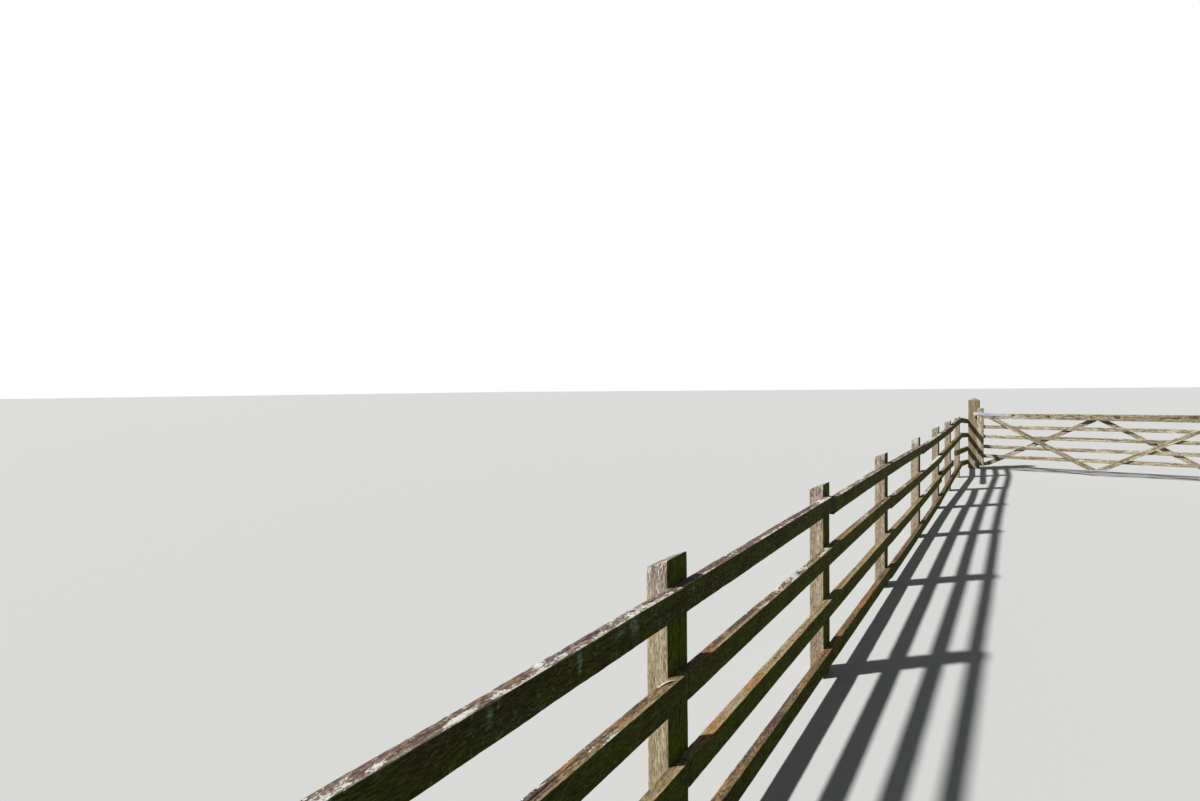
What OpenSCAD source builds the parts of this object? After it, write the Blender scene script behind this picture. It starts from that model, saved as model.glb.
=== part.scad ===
// Timber post-and-rail fence of four rails, running up to a hanging post
// with a diamond-braced five-bar field gate and its shutting post.
// Millimetres, +Z up, ground at Z = 0. The origin is the middle of the hanging post's foot.
// The fence runs along -X, the rails' side faces -Y, and the closed gate runs along -Y.

/* [Fence posts] */
// Distance between neighbouring fence posts in the regular bays
bay = 1800; // [1600:50:2000]
// Length of the two shorter bays near the gate
late_bay = 1605; // [1500:5:1900]
// From the last fence post's near face to the middle of the hanging post
last_bay = 1580; // [1500:10:1900]
// Size of a fence post along the fence
post_along = 135; // [100:5:150]
// Size of a fence post across the fence
post_across = 75; // [60:5:100]
// Height of a fence post at its rail side
post_h = 1080; // [1060:5:1200]
// Fall of a fence post's sawn top from the rail side to the field side
top_fall = 33; // [10:1:45]

/* [Fence rails] */
// Depth of a rail
rail_deep = 87; // [70:1:100]
// Thickness of a rail
rail_thick = 38; // [28:1:45]
// Top edge of the first row of rails
row_1 = 1004; // [980:1:1040]
// Top edge of the second row
row_2 = 725; // [700:5:750]
// Top edge of the third row
row_3 = 443; // [420:1:470]
// Top edge of the fourth row
row_4 = 171; // [150:1:200]
// Gap where two rails butt on a post
butt_gap = 3; // [2:1:10]

/* [Gateposts] */
// Side of the square hanging and shutting posts
gatepost_w = 185; // [160:5:200]
// Height of a gatepost at the ridge of its weathered top
gatepost_h = 1368; // [1300:1:1450]
// Fall from the middle of a gatepost's top to its edges
gatepost_fall = 42; // [10:2:60]

/* [Gate] */
// Width of the gate over its two stiles
gate_w = 3490; // [3300:10:3700]
// Top of the heel stile above the ground
heel_top = 1180; // [1150:5:1250]
// Underside of the two stiles above the ground
gate_foot = 75; // [60:5:100]
// Width of the heel stile
heel_w = 105; // [90:5:120]
// Width of the head stile
head_w = 75; // [65:5:90]
// Thickness of the stiles and of the top rail
stile_t = 75; // [65:1:80]
// Depth of the top rail where it meets the heel stile
rail_heel_deep = 94; // [85:1:110]
// Depth of the top rail where it meets the head stile
rail_head_deep = 126; // [100:1:130]
// Depth of a lower bar
bar_deep = 66; // [55:1:75]
// Thickness of bars and braces
bar_t = 22; // [18:1:24]
// Middle heights of the four lower bars, from the second to the lowest
bar_z = [822, 637, 445, 265];
// Width of a brace
brace_w = 73; // [60:1:80]

/* [Ironwork] */
// Depth of the long hinge band
band_deep = 55; // [45:5:80]
// Thickness of the band's straps
band_t = 6; // [5:0.5:8]
// Length of the long hinge band along the gate
band_l = 535; // [400:5:600]
// Radius of the hook pins
pin_r = 9.5; // [8:0.5:10]
// Radial play between a pin and its eye
pin_play = 1; // [0.5:0.5:2]

/* [Hidden] */
$fn = 48;
// Bays from the far end to the last fence post, with the posts' small setting-out differences
bay_error = [0, -25, 15, 115, 25];
late_bay_error = [0, 0, 0, 0, 0, -10, 10];
bays = [for (i = [0:6]) i < 5 ? bay + bay_error[i] : late_bay + late_bay_error[i]];
function bays_after(i) = i > 6 ? 0 : bays[i] + bays_after(i + 1);
function post_x(i) = -last_bay - bays_after(i);
function post_mid(i) = post_x(i) + post_along / 2;
// Small differences between the fence posts' heights
post_rise = [0, 9, 0, 0, -10, 1, 0, -8];
// Positions across the fence: the rails' track faces lie in the hanging post's field face
rail_y = gatepost_w / 2;
post_y = rail_y + rail_thick;
eps = 0.5;
rows = [row_1, row_2, row_3, row_4];
// Rails nailed on a little out of level: heights of the two ends above the row, for rails 1 to 4
rail_ends = [
    [[0, 9], [-10, -16], [-26, 8], [22, 50]],
    [[0, 0], [-2, 8], [-6, -21], [-8, 58]],
    [[0, 0], [0, -2], [-5, 2], [36, 22]],
    [[0, 0], [0, -9], [-22, 0], [8, 105]]];
// Rails of the last bay: height of the top edge at the last fence post, fall per mm, start
gate_rail_rise = [48, 62, 71, 112];
gate_rail_fall = [0.063, 0.066, 0.059, 0.080];
overhang_start = 950;
missing_piece_end = 155;
// The gate's frame
pin_out = 55;
pin_in = 12;
gate_x = -gatepost_w / 2 - pin_out;
heel_lap = 30;
heel_y = -gatepost_w / 2 + heel_lap;
head_y = heel_y - gate_w;
shut_y = head_y + heel_lap - gatepost_w / 2;
tenon_t = 22;
fit_gap = 0.5;
top_edge_heel = 1076;
top_edge_head = 1096;
inner_heel = heel_y - heel_w;
inner_head = head_y + head_w;
mid_y = (inner_heel + inner_head) / 2;
rail_shoulder = rail_heel_deep / 4;
head_top = 1130;
// Braces: middle heights at the stile and where the two meet, lowest cuts, the first one's extra width
front_heel_ends = [1074, 73];
front_head_ends = [1032, 79];
back_heel_ends = [86, 1002];
back_head_ends = [52, 1029];
front_cut = 108;
back_cut = 80;
brace_extra = 7;
meet_y = mid_y - 12;
meet_gap = 1;
// The ironwork
eye_r = pin_r + pin_play + 6;
band_z = 1038;
band_droop = 21;
stile_bevel = 12;
lower_eye_z = 120;
lower_eye_h = 50;
shank_r = 10;
shank_drop = 5;
pin_up = 10;
hook_plate_t = 6;
hook_plate_w = 70;
shank_stand = 18;
nut_ratio = 1.8;
catch_z = 800;
catch_r = 8;
catch_out = 60;
keeper_gap = 9;
keeper_t = 6;

module fence_post(i) {
    h = post_h + post_rise[i];
    color("tan")
        translate([post_x(i) + post_along, post_y, 0])
            rotate([0, -90, 0])
                linear_extrude(post_along)
                    polygon([[0, 0], [h, 0], [h - top_fall, post_across], [0, post_across]]);
}

// Rail with plumb-cut ends; its number in the row says how its ends are raised
module laid_rail(row, number, from_x, to_x) {
    ends = rail_ends[row][number - 1];
    from_z = rows[row] + ends[0];
    to_z = rows[row] + ends[1];
    color("sienna")
        translate([0, rail_y + rail_thick, 0])
            rotate([90, 0, 0])
                linear_extrude(rail_thick)
                    polygon([[from_x, from_z - rail_deep], [to_x, to_z - rail_deep],
                        [to_x, to_z], [from_x, from_z]]);
}

// Rail from the middle of post i to the middle of post j
module row_rail(row, number, i, j) {
    start_x = i == 0 ? post_x(0) : post_mid(i) + butt_gap / 2;
    laid_rail(row, number, start_x, post_mid(j) - butt_gap / 2);
}

// Rail of row 3 that ends just past post i + 1
module short_rail(row, number, i) {
    laid_rail(row, number, post_mid(i) + butt_gap / 2, post_x(i + 1) + missing_piece_end);
}

// Sloping rail from the last fence post across the hanging post's field face
module gate_rail(row) {
    start_x = row == 2 ? -last_bay - overhang_start : post_mid(7) + 2 * butt_gap;
    fall = gate_rail_fall[row];
    start_z = rows[row] + gate_rail_rise[row] + (row == 2 ? fall * overhang_start : 0);
    len_x = gatepost_w / 2 - start_x;
    color("sienna")
        translate([start_x, rail_y, start_z])
            rotate([0, atan(fall), 0])
                translate([0, 0, -rail_deep])
                    cube([len_x, rail_thick, rail_deep]);
}

// Square post with a top that falls four ways
module gatepost_body() {
    half = gatepost_w / 2;
    low = gatepost_h - gatepost_fall;
    profile = [[0, -half], [low, -half], [gatepost_h, 0], [low, half], [0, half]];
    intersection() {
        translate([half, 0, 0])
            rotate([0, -90, 0])
                linear_extrude(gatepost_w)
                    polygon(profile);
        rotate([0, 0, 90])
            translate([half, 0, 0])
                rotate([0, -90, 0])
                    linear_extrude(gatepost_w)
                        polygon(profile);
    }
}

module shank_holes() {
    for (z = [band_z, lower_eye_z])
        translate([-gatepost_w, -pin_in, z - shank_drop - shank_r])
            rotate([0, 90, 0])
                cylinder(r = shank_r + fit_gap, h = 2 * gatepost_w);
}

module hanging_post() {
    color("burlywood")
        difference() {
            gatepost_body();
            shank_holes();
        }
}

module shutting_post() {
    color("burlywood")
        translate([0, shut_y, 0])
            gatepost_body();
}

// One hook: an upright pin on a shank that goes through the post to a square plate and nut
module gate_hook(z, pin_h) {
    shank_z = z - shank_drop - shank_r;
    far_x = gatepost_w / 2;
    translate([gate_x, -pin_in, shank_z - shank_r])
        cylinder(r = shank_r, h = 2 * shank_r);
    translate([gate_x, -pin_in, shank_z])
        cylinder(r = pin_r, h = shank_r + shank_drop + pin_h + pin_up);
    translate([gate_x, -pin_in, shank_z])
        rotate([0, 90, 0])
            cylinder(r = shank_r, h = far_x + shank_stand - gate_x);
    translate([far_x, -pin_in - hook_plate_w / 2, shank_z - hook_plate_w / 2])
        cube([hook_plate_t, hook_plate_w, hook_plate_w]);
}

module gate_hooks() {
    color("silver") {
        gate_hook(band_z, band_deep);
        gate_hook(lower_eye_z, lower_eye_h);
    }
}

function top_edge(y) = top_edge_heel
    + (top_edge_head - top_edge_heel) * (inner_heel - y) / (inner_heel - inner_head);
function top_under(y) = top_edge(y) - rail_heel_deep
    - (rail_head_deep - rail_heel_deep) * (inner_heel - y) / (inner_heel - inner_head);

// Board drawn in the gate's plane: points are [along -Y, up], thickness centred on x
module gate_board(points, x_mid, thick) {
    translate([gate_x + x_mid + thick / 2, 0, 0])
        rotate([0, -90, 0])
            linear_extrude(thick)
                polygon([for (p = points) [p[1], p[0]]]);
}

// Mortise through a stile for a tenon of the given height
module mortise(y_low, width, z_low, z_high) {
    translate([gate_x - tenon_t / 2 - fit_gap, y_low - eps, z_low - fit_gap])
        cube([tenon_t + 2 * fit_gap, width + 2 * eps, z_high - z_low + 2 * fit_gap]);
}

module bar_mortises(y_low, width) {
    for (z = bar_z)
        mortise(y_low, width, z - bar_deep / 2, z + bar_deep / 2);
}

// Upright of the gate with its top edges bevelled
module stile(y_low, width, top) {
    half = stile_t / 2;
    inner = half - stile_bevel;
    translate([gate_x, y_low + width, 0])
        rotate([90, 0, 0])
            linear_extrude(width)
                polygon([[-half, gate_foot], [half, gate_foot], [half, top - stile_bevel], [inner, top],
                    [-inner, top], [-half, top - stile_bevel]]);
}

module heel_stile() {
    lower_z = lower_eye_z + lower_eye_h / 2;
    color("tan")
        difference() {
            stile(inner_heel, heel_w, heel_top);
            bar_mortises(inner_heel, heel_w);
            mortise(inner_heel, heel_w, top_under(inner_heel) + rail_shoulder,
                top_edge(inner_heel) - rail_shoulder);
            translate([gate_x, heel_y + eps, lower_z])
                rotate([90, 0, 0])
                    cylinder(r = shank_r + fit_gap, h = heel_w + 2 * eps);
        }
}

module head_stile() {
    color("tan")
        difference() {
            stile(head_y, head_w, head_top);
            bar_mortises(head_y, head_w);
            mortise(head_y, head_w, top_under(inner_head) + rail_shoulder,
                top_edge(inner_head) - rail_shoulder);
            translate([gate_x, head_y - eps, catch_z - bar_deep])
                rotate([-90, 0, 0])
                    cylinder(r = catch_r + fit_gap, h = head_w + 2 * eps);
        }
}

module gate_top_rail() {
    color("tan") {
        gate_board([[inner_heel, top_under(inner_heel)], [inner_heel, top_edge(inner_heel)],
            [inner_head, top_edge(inner_head)], [inner_head, top_under(inner_head)]], 0, stile_t);
        translate([gate_x - tenon_t / 2, inner_heel - eps, top_under(inner_heel) + rail_shoulder])
            cube([tenon_t, heel_w + eps, rail_heel_deep / 2]);
        translate([gate_x - tenon_t / 2, head_y, top_under(inner_head) + rail_shoulder])
            cube([tenon_t, head_w + eps, rail_head_deep - rail_heel_deep / 2]);
    }
}

module gate_bar(i) {
    color("tan")
        translate([gate_x - bar_t / 2, head_y, bar_z[i] - bar_deep / 2])
            cube([bar_t, gate_w, bar_deep]);
}

// Diagonal from a stile's inner edge to the middle, cut level at its foot and under the top rail
module brace(stile_y, ends, cut, width, x_mid) {
    rise = (width / 2) / cos(atan2(ends[1] - ends[0], abs(meet_y - stile_y)));
    end_y = stile_y > meet_y ? meet_y + meet_gap : meet_y - meet_gap;
    color("tan")
        intersection() {
            gate_board([[stile_y, ends[0] - rise], [stile_y, ends[0] + rise],
                [end_y, ends[1] + rise], [end_y, ends[1] - rise]], x_mid, bar_t);
            gate_board([[inner_heel, cut], [inner_heel, top_under(inner_heel)],
                [inner_head, top_under(inner_head)], [inner_head, cut]], x_mid, bar_t);
        }
}

// Double strap: an eye on the pin and two straps along the gate's faces
module top_hinge_band() {
    color("silver")
        difference() {
            union() {
                translate([gate_x, -pin_in, band_z])
                    cylinder(r = eye_r, h = band_deep);
                for (s = [-1, 1]) {
                    translate([gate_x, 0, band_z])
                        linear_extrude(band_deep)
                            polygon([[s * stile_t / 2, heel_y], [s * (stile_t / 2 + band_t), heel_y],
                                [s * eye_r, -pin_in], [s * (eye_r - band_t), -pin_in]]);
                    gate_board([[heel_y, band_z], [heel_y, band_z + band_deep],
                        [heel_y - band_l, band_z + band_deep - band_droop],
                        [heel_y - band_l, band_z - band_droop]], s * (stile_t + band_t) / 2, band_t);
                }
            }
            translate([gate_x, -pin_in, band_z - eps])
                cylinder(r = pin_r + pin_play, h = band_deep + 2 * eps);
        }
}

// Eye bolt through the foot of the heel stile
module lower_hinge_eye() {
    mid_z = lower_eye_z + lower_eye_h / 2;
    color("silver")
        difference() {
            union() {
                translate([gate_x, -pin_in, lower_eye_z])
                    cylinder(r = eye_r, h = lower_eye_h);
                translate([gate_x, -pin_in, mid_z])
                    rotate([90, 0, 0])
                        cylinder(r = shank_r, h = heel_w + abs(heel_y) - pin_in + shank_stand);
                translate([gate_x, inner_heel, mid_z])
                    rotate([90, 0, 0])
                        cylinder(r = nut_ratio * shank_r, h = 2 * hook_plate_t, $fn = 6);
            }
            translate([gate_x, -pin_in, lower_eye_z - eps])
                cylinder(r = pin_r + pin_play, h = lower_eye_h + 2 * eps);
        }
}

// Round bolt through the head stile, standing out of its edge
module gate_catch() {
    color("silver") {
        translate([gate_x, head_y - catch_out, catch_z - bar_deep])
            rotate([-90, 0, 0])
                cylinder(r = catch_r, h = catch_out + head_w + 2 * hook_plate_t);
        translate([gate_x, inner_head, catch_z - bar_deep])
            rotate([-90, 0, 0])
                cylinder(r = nut_ratio * catch_r, h = hook_plate_t, $fn = 6);
    }
}

// Fork on the shutting post's near face that takes the catch from the opening side
module catch_keeper() {
    mid_z = catch_z - bar_deep;
    near_x = -gatepost_w / 2;
    finger_l = pin_out + catch_r + keeper_gap;
    fork_w = catch_out - 2 * keeper_gap;
    half_gap = catch_r + keeper_gap;
    color("silver") {
        translate([near_x - keeper_t, head_y - catch_out, mid_z - 2 * half_gap])
            cube([keeper_t, fork_w, 4 * half_gap]);
        for (z = [mid_z - half_gap - keeper_t, mid_z + half_gap])
            translate([near_x - finger_l, head_y - catch_out, z])
                cube([finger_l, fork_w, keeper_t]);
    }
}

fence_post(0);  // fence_post_1
fence_post(1);  // fence_post_2
fence_post(2);  // fence_post_3
fence_post(3);  // fence_post_4
fence_post(4);  // fence_post_5
fence_post(5);  // fence_post_6
fence_post(6);  // fence_post_7
fence_post(7);  // fence_post_8
row_rail(0, 1, 0, 2);  // row_1_rail_1
row_rail(0, 2, 2, 4);  // row_1_rail_2
row_rail(0, 3, 4, 6);  // row_1_rail_3
row_rail(0, 4, 6, 7);  // row_1_rail_4
gate_rail(0);  // row_1_gate_rail
row_rail(1, 1, 0, 1);  // row_2_rail_1
row_rail(1, 2, 1, 3);  // row_2_rail_2
row_rail(1, 3, 3, 5);  // row_2_rail_3
row_rail(1, 4, 5, 7);  // row_2_rail_4
gate_rail(1);  // row_2_gate_rail
row_rail(2, 1, 0, 1);  // row_3_rail_1
row_rail(2, 2, 1, 3);  // row_3_rail_2
row_rail(2, 3, 3, 5);  // row_3_rail_3
short_rail(2, 4, 5);  // row_3_rail_4
gate_rail(2);  // row_3_gate_rail
row_rail(3, 1, 0, 1);  // row_4_rail_1
row_rail(3, 2, 1, 3);  // row_4_rail_2
row_rail(3, 3, 3, 5);  // row_4_rail_3
row_rail(3, 4, 5, 7);  // row_4_rail_4
gate_rail(3);  // row_4_gate_rail
hanging_post();
shutting_post();
gate_hooks();
catch_keeper();
heel_stile();
head_stile();
gate_top_rail();
gate_bar(0);  // gate_bar_2
gate_bar(1);  // gate_bar_3
gate_bar(2);  // gate_bar_4
gate_bar(3);  // gate_bar_5
brace(inner_heel, front_heel_ends, front_cut, brace_w + brace_extra, -bar_t);  // front_brace_heel
brace(inner_head, front_head_ends, front_cut, brace_w, -bar_t);  // front_brace_head
brace(inner_heel, back_heel_ends, back_cut, brace_w, bar_t);  // back_brace_heel
brace(inner_head, back_head_ends, back_cut, brace_w, bar_t);  // back_brace_head
top_hinge_band();
lower_hinge_eye();
gate_catch();
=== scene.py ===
import math
from functools import reduce

import bmesh
import bpy
from bpy.props import FloatProperty, FloatVectorProperty, IntProperty, PointerProperty
from mathutils import Matrix, Vector, noise
from mathutils.bvhtree import BVHTree


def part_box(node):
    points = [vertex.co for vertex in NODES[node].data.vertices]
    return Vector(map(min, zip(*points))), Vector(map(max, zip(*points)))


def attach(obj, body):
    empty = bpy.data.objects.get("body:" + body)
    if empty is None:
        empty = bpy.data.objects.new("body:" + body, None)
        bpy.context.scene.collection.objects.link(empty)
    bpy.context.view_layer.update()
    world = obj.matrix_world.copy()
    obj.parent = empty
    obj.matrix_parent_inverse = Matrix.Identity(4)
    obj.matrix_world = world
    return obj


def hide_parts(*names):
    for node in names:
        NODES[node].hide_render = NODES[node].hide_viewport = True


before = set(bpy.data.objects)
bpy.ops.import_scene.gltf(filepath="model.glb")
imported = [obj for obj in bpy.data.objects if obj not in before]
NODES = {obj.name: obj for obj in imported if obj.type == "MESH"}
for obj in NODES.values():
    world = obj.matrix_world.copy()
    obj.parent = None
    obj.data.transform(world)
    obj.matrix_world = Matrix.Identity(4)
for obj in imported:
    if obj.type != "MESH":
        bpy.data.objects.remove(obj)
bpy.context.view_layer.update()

bl_info = {
    "name": "Weathered timber fence and field gate",
    "version": (1, 0, 0),
    "blender": (4, 5, 0),
    "location": "View3D > Sidebar > Timber fence",
    "description": "Weathered boards, nails and ironwork for a post-and-rail fence with a field gate",
    "category": "Object",
}


def colour(name, description, value):
    return FloatVectorProperty(name=name, description=description, subtype="COLOR", size=3, min=0.0, max=1.0,
                               default=value)


def length(name, description, value, most=0.2):
    return FloatProperty(name=name, description=description, subtype="DISTANCE", unit="LENGTH", min=0.0,
                         max=most, default=value)


# Small colours that no setting changes, the first two damp and painted shade for the track side, and the
# spacing of growth rings in metres
DAMP_AND_PAINTED_SHADE, DAMP_AND_PAINTED_SHADE_GRAIN, BLUSH = (0.036, 0.03, 0.016), (0.036, 0.032, 0.018), (0.5, 0.4, 0.35)
KNOT, CRACK, NAIL_STAIN = (0.07, 0.04, 0.028), (0.022, 0.017, 0.012), (0.03, 0.022, 0.014)
CLEAN_ZINC, DARK_RUST = (0.75, 0.75, 0.78), (0.022, 0.017, 0.014)
RING_SPACING = 0.0042

# Boards, in metres: how near an arris they wear, how far rust spreads from a nail, how far and wide it runs
WORN_REACH, STAIN_REACH, STREAK_LENGTH, STREAK_WIDTH = 0.011, 0.012, 0.055, 0.008

# Angles in radians between two faces: from which a timber or an iron edge is rounded, and shading breaks
TIMBER_EDGE, IRON_EDGE, SHADING_BREAK = 0.4, 0.5, math.radians(40)

# Iron, in metres: its rounding, the spacing of its cuts, the depth of its hammered skin, its domes' rise
IRON_ARRIS, IRON_SLICE, HAMMERED, BOLT_RISE, SCREW_RISE = 0.0012, 0.012, 0.00025, 0.006, 0.0022

# Nails, in metres: how far they stand off, the least width of a crossing and, on the gate, half their
# distance apart and how far they stay from a brace's end. The last is a length too small to see.
STAND_OFF, LEAST_CROSSING, PAIR, BRACE_END, TINY = 0.0002, 0.02, 0.012, 0.06, 1e-6

# The camera's place in metres and its turn in radians, the direction of the main lamp, half the floor's width
CAMERA_AT, HEADING, PITCH, ROLL = (-13.74, -0.762, 1.62), 0.6129, 0.0196, -0.0098
KEY_FROM, FLOOR_REACH = (-1.05, 1.0, 1.47), 300.0


class TimberSizes(bpy.types.PropertyGroup):
    slice_length: length("Slice length", "Spacing of the cuts along and across a board's faces", 0.014)
    arris: length("Arris", "Rounding of a sawn arris before it wears", 0.002)
    near_slice: length("Near slice", "Spacing of the cuts across the rails", 0.0085)
    wear: length("Wear", "Depth of the chips along the arrises", 0.0016)
    relief: length("Relief", "Depth of the weathered hollows in the faces", 0.0007)
    check_width: length("Check width", "Half the width of a drying crack", 0.0022)


class RailSizes(bpy.types.PropertyGroup):
    nail_head: length("Nail head", "Radius of a nail's head", 0.0048)
    nail_spread: length("Nail spread", "Height of a nail above or below the middle of its rail", 0.024)
    top_sag: length("Top sag", "Depth of the hollows worn in the top rail's upper edge", 0.003)
    splinter: length("Splinter", "Width of the sliver lifted from the second row", 0.0068)


class GateSizes(bpy.types.PropertyGroup):
    bolt_head: length("Bolt head", "Radius of a coach bolt's domed head", 0.011)
    nut: length("Nut", "Width across the flats of a square nut", 0.019)
    peg: length("Peg", "Radius of a draw peg through a stile and its tenon", 0.0065)
    clout: length("Brace nail", "Radius of the nail heads that hold the braces", 0.0055)
    screw: length("Keeper screw", "Radius of the keeper's domed screw heads", 0.0042)


class TimberColours(bpy.types.PropertyGroup):
    post_pale: colour("Post, pale", "Sunny faces of the fence posts", (0.57, 0.475, 0.315))
    post_brown: colour("Post, brown", "Browner bands of the fence posts", (0.45, 0.35, 0.215))
    post_old: colour("Post, upper end", "Pinkish grey of a post's upper end", (0.5, 0.4, 0.345))
    post_rosy: colour("Post, rosy", "Sunny faces of the older fence posts", (0.57, 0.465, 0.35))
    post_rosy_brown: colour("Post, rosy brown", "Browner bands of the older fence posts", (0.41, 0.31, 0.215))
    # Damp and algae, and darker still as painted shade, since these faces lie in shade
    post_shade: colour("Post, shaded side", "Faces on the rails' side, damp and dark", (0.078, 0.074, 0.026))
    rail_side: colour("Rail, field side", "Faces against the posts and to the field", (0.27, 0.205, 0.125))
    # Damp and algae, and darker still as painted shade, since these faces lie in shade
    rail_shade: colour("Rail, shaded side", "Faces on the track side", (0.086, 0.076, 0.024))
    rail_top: colour("Rail, top", "Reddish brown of the upper edges", (0.165, 0.098, 0.07))
    rail_grey: colour("Rail, grey top", "Mauve grey bands of the top row's upper edge", (0.26, 0.185, 0.165))
    rail_tan: colour("Rail, tan top", "Yellowish brown of the lower rows' upper edges", (0.31, 0.23, 0.105))
    rail_edge: colour("Rail, bleached edge", "Tan stripe along the track-side arris", (0.44, 0.345, 0.19))
    rail_rust: colour("Rail, orange", "Orange patches on the upper edges", (0.37, 0.185, 0.07))
    plum: colour("Rail, purple stain", "Dark purple stains on the upper edges", (0.085, 0.05, 0.055))
    dark: colour("Dark grain", "Grain lines and stains", (0.085, 0.058, 0.036))
    algae: colour("Algae", "Green film on damp faces", (0.12, 0.14, 0.018))
    film: colour("Pale film", "Grey-green streaks and specks on damp faces", (0.35, 0.41, 0.32))
    cap: colour("Gatepost's cap", "Green film on the gateposts' tops", (0.25, 0.26, 0.115))
    gatepost_pale: colour("Gatepost, pale", "Pale bands of the gateposts", (0.52, 0.42, 0.27))
    gatepost_brown: colour("Gatepost, brown", "Brown bands of the gateposts", (0.33, 0.24, 0.15))
    gate_pale: colour("Gate, pale", "Pale bands of the gate", (0.82, 0.74, 0.54))
    gate_brown: colour("Gate, brown", "Brown bands of the gate", (0.36, 0.275, 0.18))
    lichen: colour("Lichen", "Pale crust of lichen", (0.78, 0.73, 0.66))
    lichen_old: colour("Lichen, old", "Greyer and yellower crust", (0.42, 0.38, 0.27))
    yolk: colour("Yellow lichen", "Small yellow patches of lichen", (0.6, 0.46, 0.12))


class IronColours(bpy.types.PropertyGroup):
    zinc: colour("Zinc", "Galvanised iron", (0.6, 0.6, 0.65))
    zinc_dull: colour("Zinc, dull", "Duller crystals of the zinc", (0.4, 0.4, 0.44))
    rust: colour("Rust", "Rusty nails and stains", (0.06, 0.036, 0.024))


class StageSettings(bpy.types.PropertyGroup):
    floor: colour("Floor", "Pale floor", (0.62, 0.62, 0.6))
    bounce: colour("Floor's reflection", "What the floor throws back at the object", (0.15, 0.17, 0.11))
    sky: colour("Sky", "Tint of the even light from all round", (0.86, 0.94, 1.0))
    key: FloatProperty(name="Key", description="Strength of the main lamp", min=0.0, default=4.5)
    key_angle: FloatProperty(name="Key softness", description="Apparent size of the main lamp",
                             subtype="ANGLE", default=math.radians(2.5))
    fill: FloatProperty(name="Fill", description="Strength of the even light from all round", min=0.0,
                        default=0.105)
    lens: FloatProperty(name="Lens", description="Focal length on a 36 mm sensor", min=1.0, default=18.0)
    seed: IntProperty(name="Seed", description="Start of the boards' patterns", default=3)


# ---------------------------------------------------------------- shader nodes


class Nodes:
    """Adds and links the nodes of a node tree."""

    def __init__(self, tree):
        self.tree = tree

    def feed(self, socket, value):
        """Links another node's output to a socket, or sets the socket's own value."""
        if isinstance(value, bpy.types.NodeSocket):
            self.tree.links.new(value, socket)
        else:
            socket.default_value = value

    def add(self, kind, values=None, **settings):
        node = self.tree.nodes.new(kind)
        for key, value in settings.items():
            setattr(node, key, value)
        for key, value in (values or {}).items():
            self.feed(node.inputs[key], value)
        return node

    def math(self, operation, a, b=0.0, c=0.0, **settings):
        return self.add("ShaderNodeMath", {0: a, 1: b, 2: c}, operation=operation, **settings).outputs[0]

    def plus(self, *values):
        return reduce(lambda a, b: self.math("ADD", a, b), values)

    def minus(self, a, b):
        return self.math("SUBTRACT", a, b)

    def times(self, *values):
        return reduce(lambda a, b: self.math("MULTIPLY", a, b), values)

    def ramp(self, value, low, high, start=0.0, end=1.0):
        values = {"Value": value, "From Min": low, "From Max": high, "To Min": start, "To Max": end}
        return self.add("ShaderNodeMapRange", values, interpolation_type="SMOOTHSTEP").outputs[0]

    def mix(self, share, a, b, blend="MIX"):
        values = {0: share, 6: a if isinstance(a, bpy.types.NodeSocket) else (*a, 1.0),
                  7: b if isinstance(b, bpy.types.NodeSocket) else (*b, 1.0)}
        return self.add("ShaderNodeMix", values, data_type="RGBA", blend_type=blend).outputs[2]

    def over(self, under, upper, value, low, high, share=1.0):
        """Lays one colour over another where a value rises from low to high, up to a share."""
        return self.mix(self.ramp(value, low, high, 0.0, share), under, upper)

    def toned(self, body, fine, strength):
        """Body made brighter and darker by fine mottling."""
        return self.mix(1.0, body, self.ramp(fine, -0.18, 0.18, 1.0 + strength, 1.0 - strength), "MULTIPLY")

    def scaled(self, vector, x, y, z):
        return self.add("ShaderNodeVectorMath", {0: vector, 1: (x, y, z)}, operation="MULTIPLY").outputs[0]

    def noise(self, vector, along, across, detail=3.0, rough=0.55, up=None, output="Fac"):
        """Noise with one scale along X and another across it, or a third one along Z."""
        scale = (along, across, across if up is None else up)
        values = {"Vector": self.scaled(vector, *scale), "Scale": 1.0, "Detail": detail, "Roughness": rough}
        return self.add("ShaderNodeTexNoise", values).outputs[output]

    def split(self, vector):
        return self.add("ShaderNodeSeparateXYZ", {0: vector}).outputs

    def group(self, tree, **values):
        return self.add("ShaderNodeGroup", values, node_tree=tree).outputs


class Group(Nodes):
    """A node group under construction, with named inputs and outputs."""

    def __init__(self, name, inputs, outputs):
        super().__init__(bpy.data.node_groups.new(name, "ShaderNodeTree"))
        for side, names in (("INPUT", inputs), ("OUTPUT", outputs)):
            for text, kind in names.items():
                self.tree.interface.new_socket(text, in_out=side, socket_type="NodeSocket" + kind)
        self.inputs = self.add("NodeGroupInput").outputs
        self.output = self.add("NodeGroupOutput")

    def give(self, **values):
        for key, value in values.items():
            self.feed(self.output.inputs[key], value)
        return self.tree


class MaterialNodes(Nodes):
    """The nodes of a new material."""

    def __init__(self, name):
        self.material = bpy.data.materials.new(name)
        self.material.use_nodes = True
        super().__init__(self.material.node_tree)

    def finish(self, colour, height, roughness, step=0.001, metallic=0.0, specular=0.08):
        bump = self.add("ShaderNodeBump", {"Height": height, "Distance": step, "Strength": 1.0}).outputs[0]
        return self.shade(colour, roughness, specular, metallic, bump)

    def shade(self, colour, roughness, specular, metallic=0.0, normal=None):
        inputs = self.tree.nodes["Principled BSDF"].inputs
        values = {"Base Color": colour, "Roughness": roughness, "Specular IOR Level": specular,
                  "Metallic": metallic, "Normal": normal}
        for key, value in values.items():
            if value is not None:
                self.feed(inputs[key], value)
        return self.material


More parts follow.
